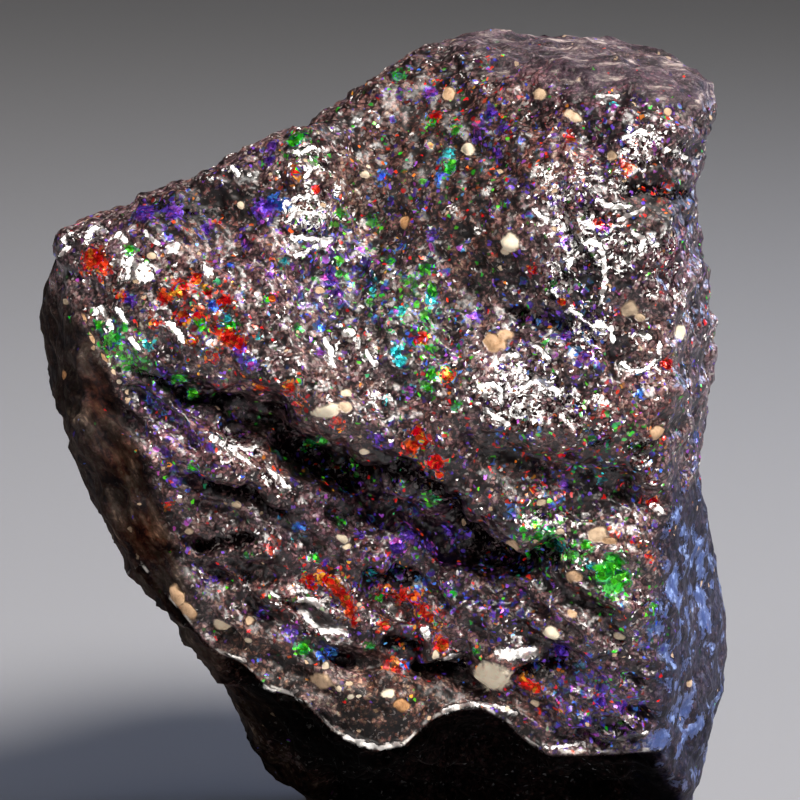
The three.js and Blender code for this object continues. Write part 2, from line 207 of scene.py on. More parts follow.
# What the rock leans to: across, down, half width, then how brown, how plum and how grey-green.
TINTS = [
    (97, 385, 16, 1.0, 0.2, 0.0), (100, 406, 14, 1.5, 0.0, 0.0), (150, 405, 24, 0.5, 0.8, 0.0),
    (112, 345, 24, 0.0, 0.0, 1.2), (120, 450, 24, 0.6, 0.3, 0.0), (140, 540, 26, 0.8, 0.1, 0.0),
    (430, 110, 60, 1.0, 0.0, 0.0), (400, 190, 60, 0.9, 0.0, 0.0), (470, 230, 60, 0.8, 0.1, 0.0),
    (500, 150, 50, 0.7, 0.3, 0.0), (655, 190, 26, 1.8, 0.5, 0.0), (680, 250, 34, 0.2, 1.3, 0.0),
    (620, 110, 60, 0.2, 0.6, 0.0), (560, 60, 60, 0.0, 0.8, 0.0), (640, 70, 50, 0.2, 0.8, 0.0),
    (200, 205, 34, 0.9, 0.7, 0.0), (155, 216, 26, 0.9, 0.8, 0.0), (250, 205, 30, 0.9, 0.5, 0.0),
    (250, 260, 50, 0.2, 0.4, 0.2), (330, 300, 60, 0.0, 0.4, 0.6), (400, 330, 60, 0.0, 0.1, 0.9),
    (350, 190, 40, 0.1, 0.0, 0.9), (450, 400, 60, 0.1, 0.3, 0.5), (180, 430, 50, 0.1, 1.0, 0.0),
    (260, 400, 40, 0.4, 0.5, 0.0), (420, 500, 60, 0.2, 0.9, 0.0), (330, 520, 50, 0.1, 0.9, 0.0),
    (620, 440, 50, 0.5, 0.6, 0.0), (540, 590, 60, 0.1, 0.4, 0.4), (420, 600, 60, 0.5, 0.6, 0.0),
    (300, 600, 50, 0.5, 0.5, 0.0), (270, 650, 50, 0.6, 0.0, 0.3), (400, 690, 60, 0.7, 0.0, 0.2),
    (520, 700, 60, 0.6, 0.2, 0.0), (620, 690, 60, 0.1, 0.6, 0.1), (130, 310, 30, 0.1, 0.1, 0.8),
    (480, 530, 40, 0.1, 0.1, 0.8), (500, 460, 40, 0.9, 0.0, 0.1), (575, 472, 40, 0.9, 0.2, 0.0),
    (340, 462, 40, 0.8, 0.0, 0.2),
]

# Where the rock is plain, with few flecks: across, down, half width and how plain.
PLAIN = [
    (290, 690, 40, 0.9), (360, 715, 50, 1.0), (250, 655, 30, 0.8), (420, 700, 30, 0.7), (445, 690, 22, 0.6),
    (325, 680, 30, 0.6), (395, 735, 30, 0.9), (205, 600, 20, 0.5), (430, 150, 70, 0.4), (480, 240, 44, 0.5),
    (500, 180, 50, 0.4), (660, 200, 30, 0.9), (690, 260, 20, 0.2), (150, 540, 30, 0.8), (130, 470, 24, 0.7),
    (520, 720, 24, 0.5), (600, 738, 24, 0.4), (470, 300, 30, 0.4), (670, 430, 24, 0.3), (320, 225, 24, 0.4),
    (185, 207, 34, 0.9), (240, 208, 26, 0.8), (400, 300, 60, 0.3),
]

# Where the right side shines blue, partly as a painted reflection: across, down, half width and how much.
BLUE_SHINE = [
    (678, 515, 8, 0.8), (683, 530, 6, 0.8), (680, 548, 5, 0.6), (699, 548, 9, 1.0), (700, 560, 8, 1.0),
    (690, 562, 7, 0.9), (701, 573, 7, 0.8), (674, 578, 8, 1.0), (672, 590, 10, 1.0), (668, 567, 6, 0.7),
    (695, 466, 7, 0.6), (684, 490, 5, 0.6), (696, 437, 9, 0.5), (712, 585, 6, 0.5), (700, 596, 9, 0.9),
    (690, 590, 6, 0.7), (704, 617, 10, 1.0), (709, 625, 7, 0.9), (680, 603, 8, 0.9), (687, 613, 7, 0.7),
    (680, 622, 5, 0.7), (665, 612, 6, 0.6), (658, 628, 7, 0.7), (650, 634, 6, 0.5), (645, 646, 7, 0.6),
    (664, 649, 6, 1.0), (668, 658, 6, 0.8), (673, 665, 5, 0.7), (686, 702, 8, 1.0), (684, 711, 7, 0.9),
    (676, 712, 6, 0.6), (672, 719, 6, 0.7), (676, 686, 7, 0.5), (701, 722, 7, 1.0), (693, 730, 7, 0.9),
    (685, 738, 7, 0.8), (662, 738, 9, 1.0), (652, 741, 8, 0.9), (664, 746, 6, 0.9), (678, 752, 7, 0.8),
    (640, 745, 7, 0.5), (711, 650, 5, 0.5), (700, 395, 5, 0.4), (702, 350, 5, 0.4), (700, 500, 4, 0.4),
]

# Where the broken rock is glassy and gleams most: across, down, half width and how much.
GLEAMS = [
    (590, 240, 44, 0.68), (640, 150, 26, 0.8), (620, 185, 20, 0.7), (672, 236, 14, 0.8),
    (688, 258, 10, 0.7), (684, 300, 12, 0.8), (600, 440, 24, 0.6), (640, 445, 20, 0.7), (570, 455, 14, 0.5),
    (652, 478, 12, 0.7), (530, 518, 20, 0.6), (560, 545, 18, 0.7), (580, 562, 14, 0.7), (392, 600, 18, 0.7),
    (298, 588, 16, 0.6), (355, 590, 12, 0.5), (232, 168, 7, 0.9), (212, 178, 7, 0.8), (66, 232, 8, 0.8),
    (655, 250, 30, 0.6), (560, 190, 30, 0.7), (590, 330, 34, 0.68), (655, 370, 24, 0.6),
    (520, 395, 44, 0.85), (570, 410, 26, 0.68), (312, 215, 30, 1.0), (312, 160, 18, 0.8),
    (95, 236, 18, 0.6), (134, 268, 20, 0.9), (165, 250, 16, 0.5), (106, 312, 14, 0.6), (236, 448, 24, 0.8),
    (270, 475, 16, 0.7), (318, 615, 24, 1.0), (397, 612, 12, 0.9), (600, 735, 24, 0.5), (625, 725, 14, 0.9),
    (607, 741, 9, 0.9), (350, 345, 20, 0.5), (140, 271, 16, 0.9), (665, 240, 20, 0.5), (672, 270, 16, 0.5),
    (640, 600, 12, 0.6), (636, 628, 12, 0.5), (640, 460, 22, 0.4), (560, 520, 18, 0.4), (225, 520, 16, 0.3),
    (490, 60, 16, 0.4), (548, 175, 16, 1.0), (582, 176, 16, 0.9), (560, 270, 24, 0.75),
    (556, 290, 18, 0.78), (622, 262, 14, 0.8), (636, 245, 18, 0.78), (560, 222, 20, 0.78),
    (648, 140, 20, 0.9), (675, 152, 14, 0.8), (680, 295, 16, 0.7), (690, 320, 16, 0.7), (640, 335, 14, 0.8),
    (486, 390, 18, 0.9), (540, 385, 22, 0.85), (498, 416, 14, 0.9), (566, 406, 14, 0.8), (455, 208, 9, 0.7),
    (478, 234, 9, 0.7), (488, 190, 9, 0.7), (476, 268, 8, 0.7), (412, 135, 8, 0.6), (372, 150, 8, 0.7),
    (340, 150, 12, 0.5), (335, 190, 10, 0.8), (220, 175, 10, 0.4), (375, 395, 14, 0.7), (370, 355, 14, 0.7),
    (640, 462, 14, 0.8), (613, 468, 9, 0.7), (600, 400, 14, 0.7), (690, 390, 12, 0.7), (575, 430, 12, 0.6),
    (245, 578, 12, 0.5), (285, 600, 12, 0.7), (395, 492, 8, 0.8), (430, 405, 12, 0.4), (650, 605, 8, 0.7),
    (618, 645, 12, 0.6), (450, 652, 10, 0.6), (655, 290, 20, 0.5), (500, 450, 20, 0.5), (538, 466, 20, 0.5),
    (590, 470, 18, 0.5), (495, 39, 13, 0.8), (528, 50, 9, 0.7), (622, 64, 10, 0.7), (470, 47, 9, 0.5),
    (560, 44, 10, 0.4),
]

# Glassy threads and beads that stand out of the rock, with painted highlights: half width, then places they
# run through.
GLINT_THREADS = [
    (3.2, (570, 264), (578, 250), (589, 241), (600, 246), (604, 262), (605, 282), (600, 302)),
    (2.2, (588, 248), (594, 257), (600, 262)), (2.6, (558, 319), (570, 309), (580, 316)),
    (3.2, (580, 318), (592, 326), (606, 326)), (3.0, (598, 322), (612, 328), (613, 341)),
    (2.4, (660, 342), (659, 358), (648, 369), (636, 371), (622, 364)), (2.4, (597, 95), (617, 96)),
    (6.4, (502, 653), (514, 656), (527, 655), (538, 651)), (5.0, (508, 651), (532, 651), (549, 646)),
    (5.0, (302, 600), (316, 603), (326, 614), (335, 625), (345, 632)), (2.6, (270, 592), (284, 601)),
    (5.0, (301, 612), (310, 622), (322, 630), (338, 631)), (4.5, (308, 606), (318, 619), (330, 627)),
    (4.0, (122, 262), (133, 263), (144, 269), (152, 277)), (3.6, (150, 278), (138, 280), (126, 277)),
    (3.0, (128, 270), (140, 275)), (3.0, (284, 212), (288, 202), (300, 196), (316, 198)),
    (2.6, (286, 222), (296, 214), (310, 212), (324, 217)),
    (3.4, (286, 240), (302, 237), (316, 240), (331, 240)), (2.8, (330, 242), (314, 248), (296, 256)),
    (3.2, (291, 152), (302, 153), (314, 147)), (2.8, (306, 160), (311, 168), (306, 177)),
    (4.0, (326, 338), (330, 350), (332, 366)), (3.2, (366, 352), (375, 363)), (4.5, (346, 331), (352, 332)),
    (3.6, (168, 322), (176, 330), (183, 341)), (3.0, (224, 450), (238, 446), (250, 450), (259, 444)),
    (3.0, (234, 453), (246, 460), (253, 467)), (2.8, (267, 466), (278, 478), (288, 488)),
    (3.4, (212, 437), (222, 443)), (5.0, (228, 428), (237, 427)),
    (3.0, (478, 386), (492, 383), (501, 391), (502, 404)),
    (3.6, (520, 389), (535, 380), (549, 384), (557, 395)), (3.2, (486, 410), (498, 418), (509, 424)),
    (3.4, (502, 358), (517, 354)), (2.6, (530, 344), (541, 350), (549, 359)),
    (3.6, (598, 200), (612, 207), (630, 206)), (2.8, (534, 210), (545, 220), (558, 222)),
    (3.4, (632, 232), (645, 238), (641, 249)), (2.6, (618, 220), (632, 214), (644, 208)),
    (3.0, (624, 138), (640, 131), (650, 135)), (3.0, (662, 149), (676, 152), (686, 158)),
    (3.6, (86, 236), (96, 227), (106, 231)), (4.5, (64, 240), (71, 232), (80, 228)),
    (3.5, (61, 254), (68, 247)), (4.5, (118, 236), (125, 240)), (2.6, (145, 231), (151, 239), (158, 244)),
    (4.5, (167, 252), (177, 246)), (5.5, (206, 268), (209, 272)), (3.8, (231, 163), (238, 175)),
    (3.0, (101, 306), (106, 316), (112, 327)), (3.2, (117, 309), (125, 321)), (4.0, (131, 340), (139, 347)),
    (7.0, (391, 606), (402, 616)), (3.0, (445, 659), (459, 654)), (5.0, (425, 630), (427, 637)),
    (3.0, (653, 506), (661, 511)), (3.0, (605, 722), (620, 718), (634, 714)), (3.6, (641, 333), (649, 337)),
    (3.6, (346, 738), (362, 744), (382, 747), (398, 744)),
    (3.4, (444, 711), (462, 706), (482, 704), (500, 707), (516, 714)), (2.8, (283, 697), (302, 700)),
    (2.8, (228, 654), (245, 661)), (2.8, (261, 685), (274, 691)), (2.6, (546, 748), (562, 746), (584, 744)),
    (2.4, (604, 741), (622, 739), (646, 733)),
]

# Slots and deep pits in the front: half width and depth, then places they run through.
SLOTS = [
    (5, 7, (132, 369), (160, 382), (188, 396)), (8, 7, (188, 400), (240, 398), (290, 410)),
    (9, 6, (252, 418), (288, 426)), (15, 13, (284, 440), (318, 462), (350, 482)),
    (14, 15, (345, 470), (400, 478), (438, 492)), (15, 15, (400, 472), (448, 505), (476, 532)),
    (14, 12, (476, 545), (514, 562), (552, 556)), (6, 8, (207, 487), (245, 496), (285, 513)),
    (8, 9, (199, 548), (250, 538)), (10, 10, (370, 573), (416, 579)), (8, 3, (482, 456), (540, 452)),
    (11, 4, (585, 490), (636, 499)), (7, 4, (560, 510), (610, 512)), (8, 9, (388, 641), (420, 644)),
    (11, 10, (424, 664), (460, 666)), (9, 9, (522, 672), (558, 664)), (5, 5, (560, 737), (598, 731)),
    (8, 5, (330, 512), (385, 522)), (12, 6, (535, 318), (562, 328)), (6, 4, (350, 545), (372, 548)),
    (6, 4, (600, 632), (625, 640)), (7, 4, (300, 656), (345, 656)), (5, 4, (268, 505), (300, 515)),
    (6, 4, (640, 335), (655, 340)), (6, 4, (470, 130), (478, 150)), (7, 5, (460, 598), (510, 604)),
    (7, 5, (560, 600), (610, 612)), (6, 4, (170, 545), (190, 560)),
    (12, 5, (152, 205), (190, 212), (222, 211)), (7, 4, (228, 212), (262, 222)),
    (5, 5, (456, 494), (463, 503)), (5, 5, (481, 518), (489, 527)), (4, 4, (505, 538), (511, 545)),
    (4, 3, (430, 470), (436, 476)), (6, 4, (440, 560), (470, 566)), (6, 4, (600, 655), (650, 668)),
    (6, 4, (230, 560), (262, 568)), (6, 5, (65, 273), (75, 277)), (10, 7, (628, 186), (690, 194)),
    (11, 6, (512, 314), (556, 320)),
]

# Small bulges, whose tops catch the light: half width and height, then places they run through.
BULGES = [
    (11, 10, (296, 622), (318, 636), (342, 650)), (8, 6, (402, 626), (432, 646)),
    (8, 5, (598, 734), (636, 726)), (8, 5, (226, 462), (250, 474), (286, 500)),
]

# The line of the brow, and the lip where the front breaks off below.
BROW = [(40, 352), (110, 368), (240, 408), (360, 472), (480, 545), (600, 612), (720, 672)]
LIP = [
    (0, 700), (140, 562), (165, 592), (203, 636), (218, 651), (240, 659), (255, 672), (268, 686),
    (303, 697), (316, 712), (334, 730), (353, 741), (378, 748), (405, 743), (430, 718), (455, 707),
    (482, 706), (505, 718), (530, 742), (548, 752), (610, 752), (660, 749), (690, 728), (740, 690),
]

# The line that the smooth shelf on top lies above.
SHELF = [
    (0, -200), (350, -200), (405, 15), (440, 38), (490, 62), (540, 86), (600, 94), (660, 104), (800, 150),
]

# Where the front turns to the left side and to the right side: down, then across.
LEFT_TURN = [
    (250, 60), (300, 76), (345, 99), (380, 117), (420, 127), (470, 149), (510, 163), (560, 180), (620, 200),
]
RIGHT_TURN = [
    (380, 704), (420, 696), (460, 685), (500, 670), (540, 662), (580, 656), (620, 648), (700, 654),
    (760, 640), (820, 620),
]


# ---- The broken surface -----------------------------------------------------------------------

# How far things stand out or cut in, in millimetres.
LIP_OUT = 0.25
LIP_CUT = 1.3  # below the lip
SLOT_CUT = 0.7  # the strewn slots, not those placed in the table
THREAD_RISE = 0.14
GRAIN_RISE = 0.24  # as a share of the grain's smaller half width


def smooth_step(low, high, value):
    t = min(max((value - low) / (high - low), 0), 1)
    return t * t * (3 - 2 * t)


def fine_copy(node):
    """A copy of the solid with its facets rounded off and its triangles divided in sixteen."""
    mesh = bmesh.new()
    mesh.from_mesh(node.data)
    bmesh.ops.remove_doubles(mesh, verts=mesh.verts, dist=0.001 * MM)
    for rounds in (3, 4):
        bmesh.ops.subdivide_edges(mesh, edges=mesh.edges, cuts=1, use_grid_fill=True)
        above_foot = [v for v in mesh.verts if v.co.z > 0.3 * MM]
        for _ in range(rounds):
            bmesh.ops.smooth_vert(
                mesh, verts=above_foot, factor=0.5, use_axis_x=True, use_axis_y=True, use_axis_z=True
            )
    return mesh


def finer_where(mesh, wanted):
    """Divides the triangles once more where an edge's middle is wanted."""
    near = [e for e in mesh.edges if wanted((e.verts[0].co + e.verts[1].co) / 2)]
    divided = bmesh.ops.subdivide_edges(mesh, edges=near, cuts=1, use_grid_fill=True)
    faces = {f for v in divided["geom_inner"] if isinstance(v, bmesh.types.BMVert) for f in v.link_faces}
    bmesh.ops.triangulate(mesh, faces=[f for f in faces if len(f.verts) > 3])


def along_and_across(degrees):
    """The directions along and across a grain that rises by an angle to the right."""
    turn = math.radians(degrees)
    return Vector((math.cos(turn), 0, math.sin(turn))), Vector((-math.sin(turn), 0, math.cos(turn)))


SKIN_TURN = -65
ALONG_GRAIN, ACROSS_GRAIN = along_and_across(-32)
ALONG_SKIN, ACROSS_SKIN = along_and_across(SKIN_TURN)


def crease(place, steep=3.2):
    """From -1 or less in creases that wind through the rock to 1 on the crests between them."""
    return 1 - steep * abs(noise.noise(place))


def rib(p, length, width):
    """Ribs that run with the grain of the rock."""
    bend = 0.35 * noise.noise(p / 4.1)
    return crease(Vector((p.dot(ALONG_GRAIN) / length, p.y / length, p.dot(ACROSS_GRAIN) / width + bend)))


def pebble(p, size):
    """Rounded grains that meet in creases, from -1 in the creases to 1 on top."""
    nearest = noise.voronoi(p / size)[0][0]
    return 1 - 2.2 * nearest


def fold(p):
    """Long folds of the old skin."""
    return crease(Vector((p.dot(ALONG_SKIN) / 6, p.y / 1.5, p.dot(ACROSS_SKIN) / 1.5)))


def bed(p):
    """Thin beds on top of the stone."""
    return crease(Vector((p.x / 5, p.y / 1.3, (p.z + 0.25 * p.x) / 0.8)))


def relief(p, under_brow, skin, ledge, right):
    """How far the broken rock stands out at a point, in millimetres."""
    fresh = 1 - max(0.62 * skin, 0.3 * ledge, 0.6 * right)
    coarse = 0.42 * noise.fractal(p / 3.0, 0.9, 2.1, 3) * (1 - 0.5 * max(ledge, right))
    ribs = (0.14 + 0.34 * under_brow) * rib(p, 5.5, 1.5) * fresh
    lumps = 0.20 * pebble(p + 0.6 * noise.noise_vector(p / 1.5), 1.5) * fresh
    worms = 0.14 * crease(p / 1.05 + Vector((3, 1, 7)), 3) * fresh
    place = Vector((p.dot(ALONG_GRAIN) / 3.4, p.y / 2, p.dot(ACROSS_GRAIN) / 1.3))
    slot = smooth_step(0.2, 0.5, noise.noise(place + Vector((11, 5, 2)))) * (0.3 + 0.7 * under_brow)
    grit = 0.05 * noise.noise(p / 0.42) * fresh
    beds = 0.28 * skin * fold(p) + 0.2 * ledge * bed(p)
    return coarse + ribs + lumps + worms + grit + beds - SLOT_CUT * slot * fresh


def past(line, along, value):
    """How far a value is past a line at a place along it."""
    for (a, b), (c, d) in zip(line, line[1:]):
        if a <= along < c:
            return value - b - (d - b) * (along - a) / (c - a)
    return -VIEW_UNITS


def around_lip(p, across, past_lip):
    """How much a point is below the lip, how much of that is at the left, and how far forward it is."""
    below = smooth_step(-4, 8, past_lip)
    reach = 4 - 10 * smooth_step(-2, -5, p.x)
    return below, below * smooth_step(245, 215, across), smooth_step(reach, reach - 4, p.y)


def skin_at(p, normal, seen, frontward):
    """How much the old dull skin covers the rock at the left side and the back."""
    across, down, _ = seen
    left = smooth_step(0.55, 0.85, -normal.x) * smooth_step(2, -4, p.x)
    back = smooth_step(0.15, 0.6, normal.y)
    left_turn = smooth_step(8, -8, past(LEFT_TURN, down, across)) if 250 < down < 620 else 0
    fresh_corner = smooth_step(-3, -7, p.y) * smooth_step(32, 34.5, p.z)
    return max(left, back, left_turn * frontward) * (1 - fresh_corner)


def ledge_and_right(p, normal, seen, frontward):
    """How much a point is on the smooth shelf on top, and how much on the blue right side."""
    across, down, _ = seen
    stray = noise.noise(p / 2.6)
    ledge = smooth_step(12, -12, past(SHELF, across, down) + 20 * stray) * smooth_step(0.1, 0.4, normal.z)
    right = smooth_step(-12, 12, past(RIGHT_TURN, down, across) + 16 * stray) * frontward
    return ledge, right * smooth_step(400, 500, down + 80 * stray)


def dent(p, seen, facing, slots, bulges):
    """How deep the placed slots cut in less the bulges, in units of the view, and the painted shade it gets.
    """
    jag = 0.45 * noise.noise(p / 0.8)
    rises = [facing * units * math.exp(-1.2 * near * near) for near, (units,) in bulges.near(*seen)]
    dips = [
        (facing * math.exp(-1.6 * max(near + jag, 0) ** 3), units)
        for near, (units,) in slots.near(*seen)
    ]
    depth = max([-max(rises, default=0)] + [dip * units for dip, units in dips if dip > 0.05])
    return depth, max((0.1 + dip * min(units / 9, 1) for dip, units in dips), default=0)


# ---- Marks on the front -----------------------------------------------------------------------

SQUARE = 16  # width of a square, in units of the front view
OFF_GRAINS = 3.0  # half widths from a grain, past which none is noted


class Marks:
    """Marks on the front, kept by the squares of the front view that they reach."""

    def __init__(self, surface, marks, reach):
        self.squares = {}
        for across, down, half, *rest in marks:
            place = seen_at(surface, across, down)
            if place is None:
                continue
            mark = across, down, in_view(place)[2], half, *rest
            columns, rows = [
                range(int((middle - reach * half) // SQUARE), int((middle + reach * half) // SQUARE) + 1)
                for middle in (across, down)
            ]
            for column in columns:
                for row in rows:
                    self.squares.setdefault((column, row), []).append(mark)

    def around(self, across, down, nearer):
        """Each mark that reaches a place: how far off it is three ways, its half width and the rest."""
        for a, d, n, half, *rest in self.squares.get((int(across // SQUARE), int(down // SQUARE)), ()):
            yield across - a, down - d, 0.6 * (nearer - n), half, rest

    def near(self, *seen):
        """Each mark that reaches a place: how far off it is, over its half width, and the rest."""
        for x, y, z, half, rest in self.around(*seen):
            yield math.hypot(x, y, z) / half, rest

    def strongest(self, seen, fall, power=2):
        """The most that any mark gives at a place."""
        return max((amount * math.exp(fall * near**power) for near, (amount,) in self.near(*seen)), default=0)

    def added(self, seen, fall, share, count):
        """What the marks give at a place, amount by amount, all together."""
        totals = [0.0] * count
        for near, amounts in self.near(*seen):
            part = share * math.exp(fall * near**2)
            totals = [total + part * amount for total, amount in zip(totals, amounts)]
        return totals


def run_through(lines, step):
    """Lines as closely set marks."""
    for half, *rest in lines:
        numbers = [it for it in rest if not isinstance(it, tuple)]
        places = [it for it in rest if isinstance(it, tuple)]
        for (a, b), (c, d) in zip(places, places[1:]):
            count = max(1, round(math.hypot(c - a, d - b) / (step * half)))
            for i in range(count + 1):
                yield a + (c - a) * i / count, b + (d - b) * i / count, half, *numbers


def grain_marks():
    """The grains as marks, each with a reach as wide as its longer half."""
    for across, down, width, height, turn, pale in GRAINS:
        yield across, down, max(width, height), width, height, math.radians(turn), pale


def nearest_grain(grains, place):
    """How near a place is to a grain, how pale that grain is, and how far it stands out."""
    closest, tone, out = OFF_GRAINS, 0.5, 0
    for x, y, z, half, (width, height, turn, pale) in grains.around(*place):
        x, y = x * math.cos(turn) + y * math.sin(turn), y * math.cos(turn) - x * math.sin(turn)
        near = math.hypot(x / width, y / height, z / half)
        if near < closest:
            closest, tone = near, pale
            out = max(out, GRAIN_RISE * min(width, height) * UNIT / MM * math.sqrt(max(1 - near * near, 0)))
    return closest, tone, out


# ---- The stone --------------------------------------------------------------------------------


def broken_rock():
    """The finished surface of the stone."""
    mesh = fine_copy(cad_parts["opal_stone"])
    names = ("rock", "growth", "fire", "lip", "tint")
    layers = {name: mesh.verts.layers.float_color.new(name) for name in names}
    break_up(mesh, layers)
    mark_up(mesh, layers)
    return as_object(mesh, "opal_rock")


def break_up(mesh, layers):
    """Gives the surface its broken relief, its slots and its undercut lip."""
    surface = BVHTree.FromBMesh(mesh)
    slots, bulges = [Marks(surface, run_through(lines, 0.5), 2) for lines in (SLOTS, BULGES)]
    gleams = Marks(surface, GLEAMS, 2)
    mesh.normal_update()
    moves = []
    for vert in mesh.verts:
        p = vert.co / MM
        normal = vert.normal
        seen = across, down, _ = in_view(vert.co)
        facing = smooth_step(0.0, 0.4, -normal.y)
        frontward = smooth_step(0.5, 0.1, normal.y)
        past_lip = past(LIP, across, down)
        below, flank, forward = around_lip(p, across, past_lip)
        # below the lip the underside and the left flank get the dark old skin, which there also stands in as
        # painted shade
        underside = below * frontward * (1 - forward) * smooth_step(2, -2, p.x)
        skin = max(skin_at(p, normal, seen, frontward), flank * frontward, underside)
        ledge, right = ledge_and_right(p, normal, seen, frontward)

        out = relief(p, facing * smooth_step(-15, 25, past(BROW, across, down)), skin, ledge, right)
        out *= 1 - 0.45 * gleams.strongest(seen, -1.2)
        depth, dented = dent(p, seen, facing, slots, bulges)
        # painted shade: the recesses, and the front below the lip towards the left, are marked to be darkened
        below_lip_shade = 0.9 * facing * smooth_step(0, 50, past_lip) * smooth_step(3, -2, p.x)
        hollow = max(0.1 - 0.6 * out, dented, below_lip_shade)

        in_arch = smooth_step(-3, 0, p.x) * smooth_step(14, 10, p.x)
        off_flanks = max(smooth_step(0.95, 0.7, abs(normal.x)), in_arch)
        in_front = forward * frontward * off_flanks * (1 - flank)
        undercut = in_front * smooth_step(150, 240, across) * smooth_step(700, 630, across)
        undercut *= smooth_step(0.3, 3.2, p.z)
        out += LIP_OUT * undercut * smooth_step(9, 2, abs(past_lip))
        out -= LIP_CUT * undercut * smooth_step(1, 9, past_lip)

        vert[layers["rock"]] = (facing, in_front, ledge, right)
        vert[layers["growth"]] = (1, 0, min(hollow, 1), skin)
        moves.append(normal * (out * MM - depth * UNIT) * smooth_step(0.25, 1.4, p.z))
    move_out(mesh, moves)


def mark_up(mesh, layers):
    """Raises the cream grains and glassy threads, and notes what grows where."""
    surface = BVHTree.FromBMesh(mesh)
    grains = Marks(surface, grain_marks(), 3)
    threads = Marks(surface, run_through(GLINT_THREADS, 0.6), 2.5)
    spots = {colour: Marks(surface, marks, 1.6) for colour, marks in SPOTS.items()}
    pools, tints, gleams, plain, blues = [
        Marks(surface, marks, 2) for marks in (POOLS, TINTS, GLEAMS, PLAIN, BLUE_SHINE)
    ]

    def detailed(place):
        seen = in_view(place)
        by_thread = any(near < 2.3 for near, _ in threads.near(*seen))
        return by_thread or any(near < 1.4 for near, _ in grains.near(*seen))

    finer_where(mesh, detailed)
    mesh.normal_update()
    moves = []
    for vert in mesh.verts:
        facing, in_front, ledge, right = vert[layers["rock"]]
        _, _, hollow, skin = vert[layers["growth"]]
        seen = across, down, nearer = in_view(vert.co)
        shaken = noise.noise_vector(vert.co / (0.55 * MM))
        waved = across + 2.2 * shaken.x, down + 2.2 * shaken.y, nearer

        shown = max(facing, 0.9 * ledge)
        thread = max((shown * (1 - near / 2.5) for near, _ in threads.near(*waved)), default=0)
        closest, tone, out = nearest_grain(grains, waved)
        out = max(out, THREAD_RISE * max(thread - 0.6, 0))

        bare = facing * (1 - skin)
        strong = {colour: bare * marks.strongest(seen, -0.8, 4) for colour, marks in spots.items()}
        strewn = pools.added(seen, -1, bare, 4)
        colours = [max(c, strong[name]) for c, name in zip(strewn, ("red", "green", "violet", "blue"))]
        leanings = tints.added(seen, -1.5, facing, 3)
        past_lip = past(LIP, across, down)

        vert[layers["rock"]] = (gleams.strongest(seen, -1.2) * shown, thread, ledge, right)
        vert[layers["growth"]] = (closest / OFF_GRAINS, tone, hollow, skin)
        vert[layers["fire"]] = colours
        vert[layers["lip"]] = (
            min(max(0.5 + past_lip / 80, 0), 1), in_front, strong["cyan"], blues.strongest(seen, -0.8),
        )
        vert[layers["tint"]] = (*leanings, plain.strongest(seen, -0.8) * facing)
        moves.append(vert.normal * out * MM)
    move_out(mesh, moves)


def move_out(mesh, moves):
    """Moves each vertex, though none to below the ground."""
    for vert, move in zip(mesh.verts, moves):
        vert.co += move
        vert.co.z = max(vert.co.z, 0)


def as_object(mesh, name):
    data = bpy.data.meshes.new(name)
    mesh.to_mesh(data)
    mesh.free()
    data.shade_smooth()
    thing = bpy.data.objects.new(name, data)
    bpy.context.scene.collection.objects.link(thing)
    return thing


# ---- Shader sums ------------------------------------------------------------------------------


class Wire:
    """One output of a shader node. Sums on it add Math nodes."""

    def __init__(self, finish, socket):
        self.finish = finish
        self.socket = socket

    def __add__(self, other):
        return self.finish.maths("ADD", self, other)

    def __sub__(self, other):
        return self.finish.maths("SUBTRACT", self, other)

    def __rsub__(self, other):
        return self.finish.maths("SUBTRACT", other, self)

    def __mul__(self, other):
        return self.finish.maths("MULTIPLY", self, other)

    def __lt__(self, other):
        return self.finish.maths("LESS_THAN", self, other)

    def __abs__(self):
        return self.finish.maths("ABSOLUTE", self)

    def at_most(self, other):
        return self.finish.maths("MINIMUM", self, other)

    def at_least(self, other):
        return self.finish.maths("MAXIMUM", self, other)

    __radd__ = __add__
    __rmul__ = __mul__


